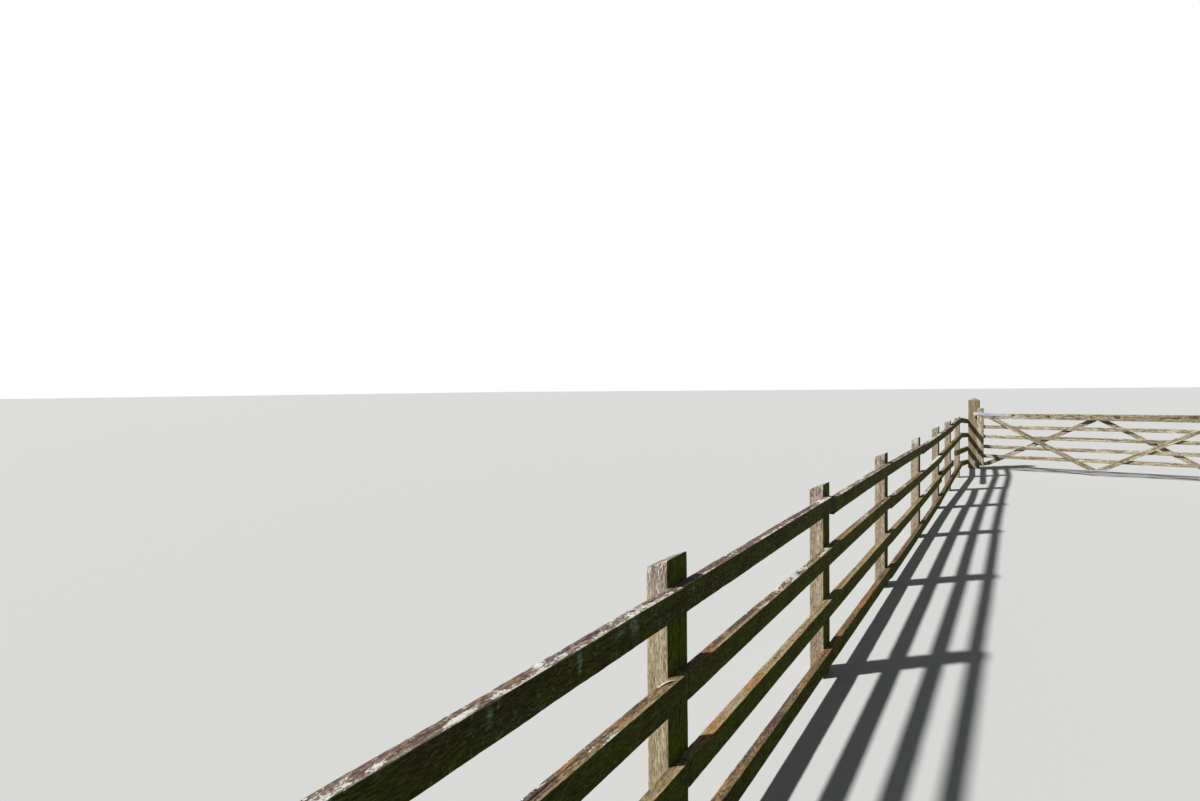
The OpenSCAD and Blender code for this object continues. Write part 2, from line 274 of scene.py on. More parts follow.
class TimberNodes(MaterialNodes):
    """The nodes of a timber material, with its look and the place on its board."""

    def __init__(self, name, look):
        super().__init__(name + look)
        self.use, self.tones = LOOKS[look], bpy.context.scene.timber_colours
        self.pale, self.brown = self.tone("pale"), self.tone("brown")
        self.grain, self.board = self.attribute("grain"), self.attribute("board")
        self.up = self.ramp(self.normal()[2], 0.45, 0.8)

    def tone(self, key):
        return getattr(self.tones, self.use[key])

    def attribute(self, name, output="Vector"):
        return self.add("ShaderNodeAttribute", attribute_name=name).outputs[output]

    def normal(self):
        return self.split(self.add("ShaderNodeNewGeometry").outputs["Normal"])

    def crust(self, cover):
        """Mask and colour of the lichen crust."""
        crust = self.group(lichen_crust(), Grain=self.grain, Cover=cover)
        return crust["Mask"], self.over(self.tones.lichen_old, self.tones.lichen, crust["Tone"], 0.4, 0.62)


def once(maker):
    """Makes a node group or material the first time it is asked for, and finds it after that."""
    made = {}

    def find(*key):
        if key not in made:
            made[key] = maker(*key)
        return made[key]
    return find


@once
def sawn_grain():
    """Grain lines and short dashes, growth bands, fine mottling and drying cracks along a board's own X."""
    g = Group("sawn_grain", {"Grain": "Vector"},
              {"Lines": "Float", "Bands": "Float", "Cracks": "Float", "Dashes": "Float", "Fine": "Float"})
    flow = g.noise(g.inputs["Grain"], 1.4, 9.0, 2.0, 0.5, output="Color")
    grain = g.add("ShaderNodeVectorMath", {0: g.inputs["Grain"], 1: g.scaled(flow, 0.0, 0.018, 0.018)},
                  operation="ADD").outputs[0]
    shake = g.math("ABSOLUTE", g.minus(g.noise(grain, 1.5, 46.0, 2.0), 0.5))
    near = g.ramp(g.noise(grain, 2.6, 11.0, 1.0), 0.5, 0.6)
    return g.give(Lines=g.noise(grain, 17.0, 230.0, 4.0, 0.6), Bands=g.noise(grain, 1.5, 26.0),
                  Cracks=g.times(g.ramp(shake, 0.002, 0.013, 1.0, 0.0), near),
                  Dashes=g.ramp(g.noise(grain, 58.0, 270.0, 3.0, 0.65), 0.5, 0.6),
                  Fine=g.minus(g.noise(grain, 40.0, 190.0, 3.0, 0.7), 0.5))


@once
def lichen_crust():
    """Ragged crust: a mask, half full where Cover is nought, and its mottled tone."""
    g = Group("lichen_crust", {"Grain": "Vector", "Cover": "Float"}, {"Mask": "Float", "Tone": "Float"})
    grain = g.inputs["Grain"]
    parts = [g.times(g.minus(g.noise(grain, along, across, 3.0, 0.65), 0.5), share)
             for along, across, share in ((130.0, 230.0, 1.45), (36.0, 75.0, 1.8), (6.0, 22.0, 2.1))]
    grown = g.plus(*parts, g.inputs["Cover"])
    tone = g.plus(g.noise(grain, 80.0, 130.0, 4.0, 0.7), g.times(grown, 0.3))
    return g.give(Mask=g.ramp(grown, 0.0, 0.08), Tone=tone)


@once
def damp_and_painted_shade_film():
    """Painted shade and damp: dark skin of a shaded face, part under algae, mottled, with pale specks and
    runs across it.
    """
    g = Group("damp_and_painted_shade_film", {"Grain": "Vector", "Shade": "Color", "Algae": "Color", "Film": "Color",
                            "Green": "Float", "Runs": "Float", "Patch": "Float"}, {"Colour": "Color"})
    grain, share = g.inputs["Grain"], g.inputs["Runs"]
    wide = g.plus(g.noise(grain, 7.0, 13.0, 4.0, 0.6), g.inputs["Green"])
    body = g.over(g.inputs["Shade"], g.inputs["Algae"], wide, 0.9, 1.14)
    mottle = g.noise(grain, 45.0, 62.0, 6.0, 0.72)
    body = g.over(body, DAMP_AND_PAINTED_SHADE, mottle, 0.47, 0.62, 0.45)
    specks = g.times(g.ramp(g.noise(grain, 80.0, 100.0, 4.0, 0.7), 0.5, 0.66),
                     g.ramp(g.noise(grain, 9.0, 16.0, 4.0, 0.65), 0.46, 0.62, 0.04, 0.6),
                     g.math("ADD", share, 0.15, use_clamp=True))
    runs = g.times(g.ramp(g.noise(grain, 95.0, 1.0, up=8.0), 0.56, 0.7),
                   g.ramp(g.noise(grain, 5.0, 1.0, 2.0, up=13.0), 0.5, 0.64),
                   g.times(share, g.ramp(mottle, 0.4, 0.6, 1.0, 0.4)))
    torn = g.times(g.ramp(g.inputs["Patch"], 0.0, 0.9), g.ramp(mottle, 0.4, 0.62, 1.0, 0.2))
    pale = g.math("MAXIMUM", g.math("MAXIMUM", specks, runs), torn)
    return g.give(Colour=g.mix(pale, body, g.inputs["Film"]))


@once
def arris_gap():
    """Distance along a face to the board's nearest long arris, in metres."""
    g = Group("arris_gap", {"Grain": "Vector", "Board": "Vector"}, {"Gap": "Float"})
    here, half = g.split(g.inputs["Grain"]), g.split(g.inputs["Board"])
    gaps = [g.minus(half[k], g.math("ABSOLUTE", here[k])) for k in (1, 2)]
    return g.give(Gap=g.math("MAXIMUM", *gaps))


@once
def end_rings():
    """Growth rings round a pith beside the board, and cracks that run out from it."""
    g = Group("end_rings", {"Grain": "Vector", "Board": "Vector"}, {"Rings": "Float", "Cracks": "Float"})
    here, half = g.split(g.inputs["Grain"]), g.split(g.inputs["Board"])
    out = [g.minus(here[k], g.times(half[k], place)) for k, place in ((1, 0.3), (2, -1.3))]
    flat = g.add("ShaderNodeCombineXYZ", {1: out[0], 2: out[1]}).outputs[0]
    reach = g.add("ShaderNodeVectorMath", {0: flat}, operation="LENGTH").outputs["Value"]
    wander = g.times(g.noise(g.inputs["Grain"], 1.0, 30.0, 2.0), 0.006)
    turn = g.times(g.plus(reach, wander), math.tau / RING_SPACING)
    angle = g.math("ARCTAN2", out[0], out[1])
    spoke = g.add("ShaderNodeCombineXYZ", {0: angle, 1: g.times(reach, 3.0)}).outputs[0]
    crack = g.math("ABSOLUTE", g.minus(g.noise(spoke, 9.0, 9.0, 2.0), 0.5))
    return g.give(Rings=g.math("MULTIPLY_ADD", g.math("SINE", turn), 0.5, 0.5),
                  Cracks=g.ramp(crack, 0.004, 0.022, 1.0, 0.0))


@once
def nail_stain():
    """Rust that has run from the nails, broken up along the grain."""
    g = Group("nail_stain", {"Grain": "Vector", "Stain": "Float"}, {"Mask": "Float"})
    torn = g.plus(g.noise(g.inputs["Grain"], 120.0, 120.0, 4.0, 0.7), 0.25)
    return g.give(Mask=g.ramp(g.times(torn, g.inputs["Stain"]), 0.12, 0.62))


# What the looks below have in common. Sides: pale and brown bands, dashes, cracks; the shaded side, whose
# tone is damp and painted shade, its share, its share of algae and its pale runs. Top: its two tones, dark
# lines and flecks, orange and purple shares, and the edge stripe's tone, width and share. Lichen, where 0 is
# half covered: on top, on the sides, at the arrises, in the half towards the track.
COMMON = dict(pale="rail_side", brown="rail_top", dashes=0.35, cracks=0.6, shade="rail_shade", shaded=1.0,
              green=0.58, runs=0.2, top=("rail_top", "rail_tan"), lines=0.5, flecks=0.8, orange=0.0, plum=0.0,
              edge=("film", 0.01, 0.0), on_top=0.0, on_sides=-0.9, at_arris=0.12, leeward=0.0)
LOOKS = {
    "post": dict(pale="post_pale", brown="post_brown", dashes=0.34, cracks=0.35, shade="post_shade",
                 green=0.62, runs=0.1, top=("rail_grey", "post_brown"), on_sides=-0.75, at_arris=0.38),
    "post_rosy": dict(pale="post_rosy", brown="post_rosy_brown", dashes=0.38, cracks=0.45,
                      shade="post_shade", runs=0.1, top=("rail_grey", "post_brown"), on_top=0.05,
                      on_sides=-0.7, at_arris=0.42),
    "rail_row_1": dict(cracks=0.7, green=0.46, runs=0.9, top=("rail_top", "rail_grey"), lines=0.45,
                       orange=0.05, plum=0.3, edge=("lichen_old", 0.008, 0.35), on_top=-0.29,
                       on_sides=-0.75, at_arris=0.14, leeward=0.24),
    "rail_row_2": dict(cracks=0.7, green=0.54, runs=0.3, lines=0.55, flecks=0.7, orange=0.22, plum=0.6,
                       edge=("rail_edge", 0.008, 0.6), on_top=-0.42, at_arris=0.14, leeward=0.05),
    "rail_row_3": dict(top=("rail_tan", "rail_edge"), lines=0.4, flecks=0.4, orange=0.2, plum=0.2,
                       edge=("rail_edge", 0.008, 0.6), on_top=-0.5),
    "rail_row_4": dict(green=0.56, lines=0.7, flecks=0.9, orange=0.3, plum=0.9,
                       edge=("rail_edge", 0.006, 0.2), on_top=-0.6),
    "gatepost": dict(pale="gatepost_pale", brown="gatepost_brown", dashes=0.4, cracks=0.8,
                     shade="post_shade", shaded=0.85, top=("cap", "gatepost_brown"), on_top=-0.35,
                     on_sides=-0.75, at_arris=0.3),
    "gate": dict(pale="gate_pale", brown="gate_brown", dashes=0.4, cracks=0.5, shade="",
                 top=("gate_pale", "gate_brown"), lines=0.4, flecks=0.5, on_top=-0.38, on_sides=-0.72),
    "sliver": dict(pale="gate_pale", brown="gate_pale", dashes=0.2, cracks=0.0, shade="",
                   top=("gate_pale", "gate_pale"), lines=0.15, flecks=0.1, on_top=-0.9, at_arris=0.0),
}
LOOKS = {name: COMMON | own for name, own in LOOKS.items()}


def weathered_top(n, saw, patch, lines):
    """Colour of an upward face: two tones in bands, orange and purple patches, a bleached edge."""
    tones, use = n.tones, n.use
    first, second = (getattr(tones, name) for name in use["top"])
    body = n.over(first, second, saw["Bands"], 0.38, 0.62)
    fleck = n.noise(n.grain, 75.0, 150.0, 4.0, 0.7)
    body = n.over(body, n.mix(0.5, tones.plum, tones.dark), fleck, 0.49, 0.56, use["flecks"])
    body = n.mix(n.ramp(fleck, 0.36, 0.46, 0.55, 0.0), body, tones.lichen_old)
    ragged = n.minus(n.noise(n.grain, 45.0, 100.0, 6.0, 0.72), 0.5)
    torn = n.times(ragged, 0.9)
    rust = n.plus(n.noise(n.grain, 3.2, 22.0), n.times(patch[1], 0.4), torn, use["orange"] * 0.42)
    body = n.over(body, tones.rail_rust, rust, 0.62, 0.8, 0.8)
    purple = n.minus(n.plus(n.noise(n.grain, 4.1, 27.0), n.times(patch[2], 0.4)), torn)
    body = n.over(body, tones.plum, n.plus(purple, use["plum"] * 0.16), 0.6, 0.76, 0.8)
    body = n.mix(n.times(lines, use["lines"]), body, tones.dark)
    name, width, share = use["edge"]
    across = n.plus(n.split(n.grain)[1], n.times(ragged, 0.045))
    stripe = n.ramp(across, width - 0.023, width - 0.014, share, 0.0)
    return n.mix(stripe, body, getattr(tones, name))


def aged_post(n, body, saw, height):
    """Pinkish grey and mottled upper end of a fence post."""
    tones = n.tones
    mottle = n.noise(n.grain, 32.0, 90.0, 6.0, 0.72)
    mottled = n.over(n.mix(0.62, tones.post_old, tones.plum), tones.post_old, mottle, 0.43, 0.53)
    mottled = n.over(mottled, n.mix(0.95, tones.post_old, tones.lichen), mottle, 0.52, 0.6)
    return n.over(body, mottled, n.plus(height, n.times(saw["Bands"], 0.12)), 0.98, 1.1)


def smudged_gate(n, body, patch):
    """Drifts of brown, dark smudges, brown patches and a pink blush on the gate's timber."""
    dark = n.tones.dark
    body = n.over(body, n.mix(0.6, n.pale, n.brown), n.noise(n.grain, 1.0, 6.0, 4.0, 0.65), 0.42, 0.6, 0.7)
    smudge = n.noise(n.grain, 8.0, 32.0, 6.0, 0.72)
    body = n.over(body, n.mix(0.45, n.brown, dark), smudge, 0.5, 0.6, 0.88)
    body = n.mix(n.times(patch[1], 0.6), body, n.mix(0.15, n.brown, dark))
    body = n.over(body, BLUSH, n.noise(n.grain, 5.0, 19.0, 3.0, 0.6), 0.52, 0.64, 0.5)
    return n.toned(body, n.minus(n.noise(n.grain, 13.0, 45.0, 4.0, 0.7), 0.5), 0.4)


def damp_and_painted_shade_side(n, saw, patch, lines):
    """Colour of a face on the rails' side, which is in shade: damp and algae, darkened as painted shade."""
    shade, algae, film = ((*tone, 1.0) for tone in (n.tone("shade"), n.tones.algae, n.tones.film))
    damp = n.group(damp_and_painted_shade_film(), Grain=n.grain, Shade=shade, Algae=algae, Film=film, Green=n.use["green"],
                   Runs=n.use["runs"], Patch=patch[0])["Colour"]
    return n.mix(n.times(lines, 0.16), n.toned(damp, saw["Fine"], 0.2), DAMP_AND_PAINTED_SHADE_GRAIN)


def lichen_cover(n, gap, patch, height):
    """How far lichen has grown: most on tops, at arrises, towards the track and at a post's upper end."""
    use = n.use
    lee = n.ramp(n.split(n.grain)[1], -0.018, 0.006, use["leeward"], 0.0)
    cover = n.plus(n.ramp(n.up, 0.0, 1.0, use["on_sides"], use["on_top"]),
                   n.ramp(gap, 0.0, 0.01, use["at_arris"], 0.0), n.times(lee, n.up),
                   n.times(patch[0], n.up, 0.3))
    if height:
        cover = n.plus(cover, n.plus(n.ramp(height, 0.96, 1.09, 0.0, 0.55), n.times(patch[0], 0.35)))
    return cover


def yellow_dots(n, saw):
    """Share of small ragged dots of lichen on the upward faces."""
    spots = n.add("ShaderNodeTexVoronoi", {"Vector": n.scaled(n.grain, 38.0, 75.0, 75.0), "Scale": 1.0})
    torn = n.plus(spots.outputs["Distance"], n.times(saw["Dashes"], 0.2))
    pick = n.math("GREATER_THAN", n.split(spots.outputs["Color"])[0], 0.965)
    return n.times(n.ramp(torn, 0.16, 0.34, 1.0, 0.0), pick, n.up)


@once
def timber(look):
    """Weathered side grain for one look of timber."""
    n = TimberNodes("timber_", look)
    tones, use = n.tones, n.use
    patch = n.split(n.attribute("patch"))
    # Faces turned to the track, where the colour is darker as painted shade as well as damp
    track = n.ramp(n.normal()[1], -0.75, -0.35, 1.0, 0.0)
    gap = n.group(arris_gap(), Grain=n.grain, Board=n.board)["Gap"]
    saw = n.group(sawn_grain(), Grain=n.grain)
    lines = n.ramp(saw["Lines"], 0.48, 0.62)
    body = n.over(n.pale, n.brown, saw["Bands"], 0.38, 0.62)
    height = None
    if look.startswith("post"):
        height = n.split(n.add("ShaderNodeTexCoord").outputs["Object"])[2]
        body = aged_post(n, body, saw, height)
    if look == "gate":
        body = smudged_gate(n, body, patch)
    body = n.mix(n.times(lines, 0.3), body, tones.dark)
    body = n.mix(n.times(saw["Dashes"], use["dashes"]), body, tones.dark)
    worn = n.ramp(gap, 0.001, 0.006, 0.45, 0.0)
    body = n.mix(n.times(worn, n.ramp(saw["Lines"], 0.3, 0.6)), body, n.pale)
    if use["shade"]:
        # Track-side faces take the damp colour, darkened as painted shade
        body = n.mix(n.times(track, use["shaded"]), body, damp_and_painted_shade_side(n, saw, patch, lines))
    body = n.mix(n.up, body, weathered_top(n, saw, patch, lines))
    body = n.toned(body, saw["Fine"], 0.42)
    grown, crust = n.crust(lichen_cover(n, gap, patch, height))
    mask = n.times(grown, n.minus(1.0, n.times(track, 0.92 if use["shade"] else 0.0)))
    body = n.mix(mask, body, crust)
    body = n.mix(n.times(yellow_dots(n, saw), 0.6), body, tones.yolk)
    if look == "gate":
        ragged = n.minus(n.noise(n.grain, 26.0, 60.0, 4.0, 0.7), 0.5)
        knot = n.ramp(n.math("MULTIPLY_ADD", ragged, 3.4, patch[2]), 0.45, 0.8)
        body = n.mix(n.times(knot, n.ramp(patch[2], 0.0, 0.3), 0.85), body, KNOT)
    body = n.mix(n.times(saw["Cracks"], use["cracks"]), body, CRACK)
    rusty = n.group(nail_stain(), Grain=n.grain, Stain=n.attribute("stain", "Fac"))["Mask"]
    body = n.mix(n.times(rusty, 0.85), body, NAIL_STAIN)
    raised = n.minus(n.times(saw["Lines"], -0.9), n.times(saw["Dashes"], 0.25))
    raised = n.plus(raised, n.times(mask, 0.6))
    raised = n.minus(raised, n.times(saw["Cracks"], 1.6 * use["cracks"]))
    return n.finish(body, raised, n.ramp(saw["Lines"], 0.3, 0.7, 0.82, 0.97))


@once
def end_grain(look):
    """Sawn end of a board: rings, radial cracks, grey weathering and lichen."""
    n = TimberNodes("ends_", look)
    dark = n.tones.dark
    rings = n.group(end_rings(), Grain=n.grain, Board=n.board)
    mottle = n.noise(n.grain, 60.0, 60.0, 5.0, 0.65)
    body = n.over(n.mix(0.35, n.pale, dark), n.mix(0.55, n.brown, dark), rings["Rings"], 0.2, 0.8)
    body = n.over(body, dark, mottle, 0.45, 0.65, 0.6)
    grown, crust = n.crust(n.ramp(n.up, 0.0, 1.0, -0.6, -0.1))
    body = n.mix(rings["Cracks"], n.mix(grown, body, crust), CRACK)
    height = n.minus(n.times(rings["Rings"], 0.5), n.times(rings["Cracks"], 1.8))
    return n.finish(body, n.plus(height, n.times(grown, 0.5)), n.ramp(mottle, 0.3, 0.7, 0.8, 0.96))


@once
def galvanised():
    """Dull zinc with crystals, pitted a little and rusty in its pits."""
    tones = bpy.context.scene.iron_colours
    n = MaterialNodes("galvanised_iron")
    place = n.add("ShaderNodeTexCoord").outputs["Object"]
    crystal = n.add("ShaderNodeTexVoronoi", {"Vector": place, "Scale": 160.0}).outputs["Color"]
    worn = n.noise(place, 28.0, 28.0, 6.0, 0.7)
    body = n.over(n.mix(n.split(crystal)[0], tones.zinc_dull, tones.zinc), CLEAN_ZINC, worn, 0.45, 0.65, 0.35)
    pits = n.ramp(n.noise(place, 75.0, 75.0, 4.0, 0.7), 0.66, 0.74)
    body = n.mix(n.times(pits, 0.7), body, tones.rust)
    height = n.minus(n.times(worn, 0.6), n.times(pits, 0.5))
    return n.finish(body, height, n.ramp(worn, 0.3, 0.7, 0.42, 0.68), step=0.0004, metallic=0.55,
                    specular=0.5)


@once
def rusty_iron():
    """Old nail heads, brown with rust."""
    n = MaterialNodes("rusty_iron")
    worn = n.noise(n.add("ShaderNodeTexCoord").outputs["Object"], 420.0, 420.0, 4.0, 0.7)
    body = n.over(bpy.context.scene.iron_colours.rust, DARK_RUST, worn, 0.4, 0.65)
    return n.finish(body, worn, n.ramp(worn, 0.3, 0.7, 0.7, 0.92), step=0.0004, metallic=0.2,
                    specular=0.4)


# ---------------------------------------------------------------- boards


def merged_copy(node):
    """A solid's mesh as a bmesh, with its doubled corners and flat triangles joined."""
    bm = bmesh.new()
    bm.from_mesh(NODES[node].data)
    bmesh.ops.remove_doubles(bm, verts=bm.verts, dist=10 * TINY)
    bmesh.ops.dissolve_limit(bm, angle_limit=0.005, verts=bm.verts, edges=bm.edges)
    return bm


def own_axes(bm, upright):
    """Matrix from a board's own axes, X along its grain and the origin in its middle, to the model's."""
    if upright:
        along, across = Vector((0, 0, 1)), Vector((1, 0, 0))
    else:
        longest = max(bm.edges, key=lambda e: e.calc_length())
        along = (longest.verts[1].co - longest.verts[0].co).normalized()
        if along.x + along.y < 0:
            along.negate()
        across = Vector((0, 0, 1)).cross(along).normalized()
    turn = Matrix((along, across, along.cross(across))).transposed().to_4x4()
    back = turn.inverted()
    corners = [back @ v.co for v in bm.verts]
    low = Vector(map(min, zip(*corners)))
    high = Vector(map(max, zip(*corners)))
    return turn @ Matrix.Translation((low + high) / 2), (high - low) / 2


# A board's faces, and the share of a normal along the grain from which a face is an end
SIDE, END, INNER = 0, 1, 2
END_TILT = 0.6


def sort_faces(bm):
    """Marks ends and the walls of holes and mortises by material index."""
    tree = BVHTree.FromBMesh(bm)
    for face in bm.faces:
        start = face.calc_center_median() + face.normal * 100 * TINY
        face.material_index = INNER if tree.ray_cast(start, face.normal)[0] else side_or_end(face)


def side_or_end(face):
    return END if abs(face.normal.x) > END_TILT else SIDE


def wave(x, y, z):
    """Smooth noise at a point, from -1 to 1."""
    return noise.noise(Vector((x, y, z)))


def only(kind, parts):
    return [part for part in parts if isinstance(part, kind)]


def soften(bm, edges, width, segments=2):
    bmesh.ops.bevel(bm, geom=edges, offset=width, offset_type="OFFSET", segments=segments, profile=0.5,
                    affect="EDGES", clamp_overlap=True, material=-1)


def sharp_edges(bm, angle):
    return [e for e in bm.edges if len(e.link_faces) == 2 and e.calc_face_angle(0) > angle]


def slice_faces(bm, axis, places):
    """Cuts all faces square to an axis at the given places, from the low end up."""
    normal = Vector((0, 0, 0))
    normal[axis] = 1.0
    live = bm.verts[:] + bm.edges[:] + bm.faces[:]
    for place in sorted(places):
        cut = bmesh.ops.bisect_plane(bm, geom=live, dist=TINY, plane_co=normal * place, plane_no=normal)
        faces = [f for f in only(bmesh.types.BMFace, cut["geom"])
                 if max(v.co[axis] for v in f.verts) > place + TINY]
        edges = {e for f in faces for e in f.edges}
        verts = {v for f in faces for v in f.verts}
        live = [*verts, *edges, *faces]


def even(low, high, step, keep_off=(), room=0.003):
    """Places from low to high about a step apart, but not close to any in keep_off."""
    count = max(1, round((high - low) / step))
    places = [low + (high - low) * k / count for k in range(1, count)]
    return [p for p in places if all(abs(p - k) > room for k in keep_off)]


class OnFace:
    """Something on one face of a board, which is named by its axis and side, such as -y."""

    def __init__(self, face):
        self.axis, self.sign = {"y": 1, "z": 2}[face[1]], 1 if face[0] == "+" else -1
        self.other = 3 - self.axis

    def misses(self, p, half, slack):
        return p[self.axis] * self.sign < half[self.axis] - slack


class Check(OnFace):
    """A drying crack along the grain: the face it is in, its place across that face, and its two ends."""

    def __init__(self, face, place, start, end, depth):
        super().__init__(face)
        self.place, self.start, self.end, self.depth = place, start, end, depth

    def opening(self, p, half, width, seed):
        """How deep the crack is at p, and how far it wanders sideways there."""
        share = (p.x - self.start) / (self.end - self.start)
        away = abs(p[self.other] - self.place)
        if self.misses(p, half, 0.001) or away > width * 1.1 or not 0 < share < 1:
            return 0.0, 0.0
        swell = math.sin(math.pi * share) ** 0.5
        sway = 0.004 * wave(p.x * 6, seed, self.place * 50)
        return self.depth * swell * max(0.0, 1 - away / (0.9 * width)), sway * swell


class Blotch(OnFace):
    """A patch on one face of a board: its middle, how far it reaches along and across, and what it shows."""
    KINDS = {"crust": 0, "film": 0, "orange": 1, "brown": 1, "dark": 2}

    def __init__(self, kind, face, along, across, long, wide, strength=1.0):
        super().__init__(face)
        self.kind, self.along, self.across = self.KINDS[kind], along, across
        self.long, self.wide, self.strength = long, wide, strength

    def at(self, p, half):
        """Share of the patch at p: full in its middle, fading beyond its reach."""
        if self.misses(p, half, 0.004):
            return 0.0
        away = math.hypot((p.x - self.along) / self.long, (p[self.other] - self.across) / self.wide)
        return self.strength * max(0.0, min(1.0, 1.6 - away))


def weather(bm, half, seed, sizes, wear, sag, checks, nails, blotches):
    """Stores each point's place on its board, wears the arrises, hollows the faces and opens the cracks."""
    grain, board, patch = (bm.verts.layers.float_vector.new(name) for name in ("grain", "board", "patch"))
    stain = bm.verts.layers.float.new("stain")
    bm.normal_update()
    moved = []
    for v in bm.verts:
        p = v.co.copy()
        v[grain] = p + Vector((seed * 3.7, 0, 0))
        v[board] = Vector((0, half.y, half.z))
        v[stain] = max((stain_at(p, q) for q in nails), default=0.0)
        shown = [0.0, 0.0, 0.0]
        for blotch in blotches:
            shown[blotch.kind] = max(shown[blotch.kind], blotch.at(p, half))
        v[patch] = shown
        if any(f.material_index == INNER for f in v.link_faces):
            continue
        sagging = sag and p.z > 0
        inward = worn_depth(p, half, seed, wear * (2.0 if sagging else 1.0))
        inward += sizes.relief * (0.5 + 0.5 * wave(p.x * 9 + seed, p.y * 45, p.z * 45))
        place = p - v.normal * inward
        if sagging:
            hollow = max(0.0, 0.3 + wave(p.x * 2.6 + seed * 4.7, p.y * 6, 0.5))
            place.z -= sag * hollow * p.z / half.z
        for check in checks:
            depth, sway = check.opening(p, half, sizes.check_width, seed)
            place[check.axis] -= check.sign * depth
            place[check.other] += sway
        moved.append((v, place))
    for v, place in moved:
        v.co = place


def worn_depth(p, half, seed, wear):
    """How far a point has worn in: most at the long arrises, by long and short waves."""
    gap = max(half.y - abs(p.y), half.z - abs(p.z))
    near = max(0.0, 1 - gap / WORN_REACH)
    long_wear = wave(p.x * 5 + seed * 9.1, p.y * 14, p.z * 14)
    short_wear = wave(p.x * 38 + seed * 5.3, p.y * 40, p.z * 40)
    return wear * near * near * max(0.0, 0.25 + 0.7 * long_wear + 0.5 * short_wear)


def stain_at(p, nail):
    """Rust round a nail, given as its point and which way is down, and in a streak below it, from 0 to 1."""
    at, down = nail
    away = p - at
    if min(abs(c) for c in away) > STAIN_REACH:
        return 0.0
    below = away.dot(down)
    side = (away - down * below).length
    halo = math.exp(-(away.length / STAIN_REACH) ** 2)
    if below <= 0:
        return halo
    streak = math.exp(-(side / STREAK_WIDTH) ** 2) * max(0.0, 1 - below / STREAK_LENGTH)
    return max(halo, 0.8 * streak)


def new_object(name, data):
    made = bpy.data.objects.new(name, data)
    bpy.context.scene.collection.objects.link(made)
    return made


def new_mesh(bm, name, materials):
    mesh = bpy.data.meshes.new(name)
    bm.to_mesh(mesh)
    bm.free()
    for material in materials:
        mesh.materials.append(material)
    return mesh


def to_object(bm, name, body, materials, sharp=False):
    """Makes the finished piece at the origin, riding on its body."""
    mesh = new_mesh(bm, name, materials)
    mesh.shade_smooth()
    if sharp:
        mesh.set_sharp_from_angle(angle=SHADING_BREAK)
    piece = new_object(name, mesh)
    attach(piece, body)
    return piece


def weathered_board(node, body, look, *, upright=False, arris=None, wear=1.0, sag=0.0, checks=(),
                    nails=(), blotches=(), bow=0.0, seed=0, step=None):
    """Builds a worn, sliced and cracked board in place of a timber solid, raised by the bow in its middle."""
    sizes = bpy.context.scene.timber_sizes
    arris = arris or sizes.arris
    bm = merged_copy(node)
    axes, half = own_axes(bm, upright)
    back = axes.inverted()
    bm.transform(back)
    bm.normal_update()
    sort_faces(bm)
    soften(bm, [e for e in sharp_edges(bm, TIMBER_EDGE)
                if e.is_convex and all(f.material_index != INNER for f in e.link_faces)], arris)
    corners = [v.co.x for v in bm.verts]
    for axis in (1, 2):
        cracks = [c.place for c in checks if c.other == axis]
        lines = [c + sizes.check_width * k for c in cracks for k in (-1, 0, 1)]
        edge = half[axis] - arris
        slice_faces(bm, axis, even(-edge, edge, step or sizes.slice_length, lines) + lines)
    slice_faces(bm, 0, even(-half.x, half.x, sizes.slice_length, corners))
    for face in bm.faces:
        if face.material_index != INNER:
            face.material_index = side_or_end(face)
    down = (back.to_3x3() @ Vector((0, 0, -1))).normalized()
    weather(bm, half, seed + bpy.context.scene.stage_settings.seed, sizes, sizes.wear * wear, sag, checks,
            [(back @ q, down) for q in nails], blotches)
    for v in bm.verts:
        v.co.z += bow * (1 - (v.co.x / half.x) ** 2)
    for face in bm.faces:
        if face.material_index == INNER:
            face.material_index = SIDE
    bm.transform(axes)
    piece = to_object(bm, node + "_weathered", body, [timber(look), end_grain(look)])
    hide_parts(node)


# ---------------------------------------------------------------- nails, bolts and ironwork


def stand_on(at, out, turn=0.0, lean=0.0):
    """Matrix that puts the origin at a point with Z along a direction, turned and leaned a little."""
    upright = Vector(out).to_track_quat("Z", "Y").to_matrix().to_4x4()
    return Matrix.Translation(at) @ upright @ Matrix.Rotation(turn, 4, "Z") @ Matrix.Rotation(lean, 4, "X")


def fasteners(name, body, slot, material, kinds, sharp=False):
    """Makes one piece of many fasteners. A kind is a maker, its sizes and a matrix for each copy."""
    whole = bmesh.new()
    for maker, sizes, places in kinds:
        one = bmesh.new()
        maker(one, *sizes)
        bmesh.ops.recalc_face_normals(one, faces=one.faces)
        for matrix in places:
            part = bpy.data.meshes.new("fastener")
            one.to_mesh(part)
            part.transform(matrix)
            whole.from_mesh(part)
            bpy.data.meshes.remove(part)
        one.free()
    if slot.endswith("timber"):
        own_place(whole)
    to_object(whole, name, body, [material], sharp)


def cone(bm, sides, low, high, depth, lift=0.0):
    """Upright cone or prism with closed ends, its middle lifted by a length."""
    new = bmesh.ops.create_cone(bm, cap_ends=True, segments=sides, radius1=low, radius2=high, depth=depth)
    bmesh.ops.translate(bm, vec=(0, 0, lift), verts=new["verts"])


def flat_head(bm, radius, sides, taper, depth, rim, rise):
    """Flat head with a soft rim and a faint dome. The last four are shares of the radius."""
    cone(bm, sides, radius, radius * taper, radius * depth)
    top = [f for f in bm.faces if f.normal.z > 0.9]
    bmesh.ops.inset_region(bm, faces=top, thickness=radius * rim, depth=radius * rise)


def nail_head(bm, radius):
    flat_head(bm, radius, 10, 0.86, 0.45, 0.3, 0.1)


def peg(bm, radius):
    """End of an oak draw peg: eight flats, cut a little proud."""
    flat_head(bm, radius, 8, 0.94, 0.5, 0.22, 0.12)


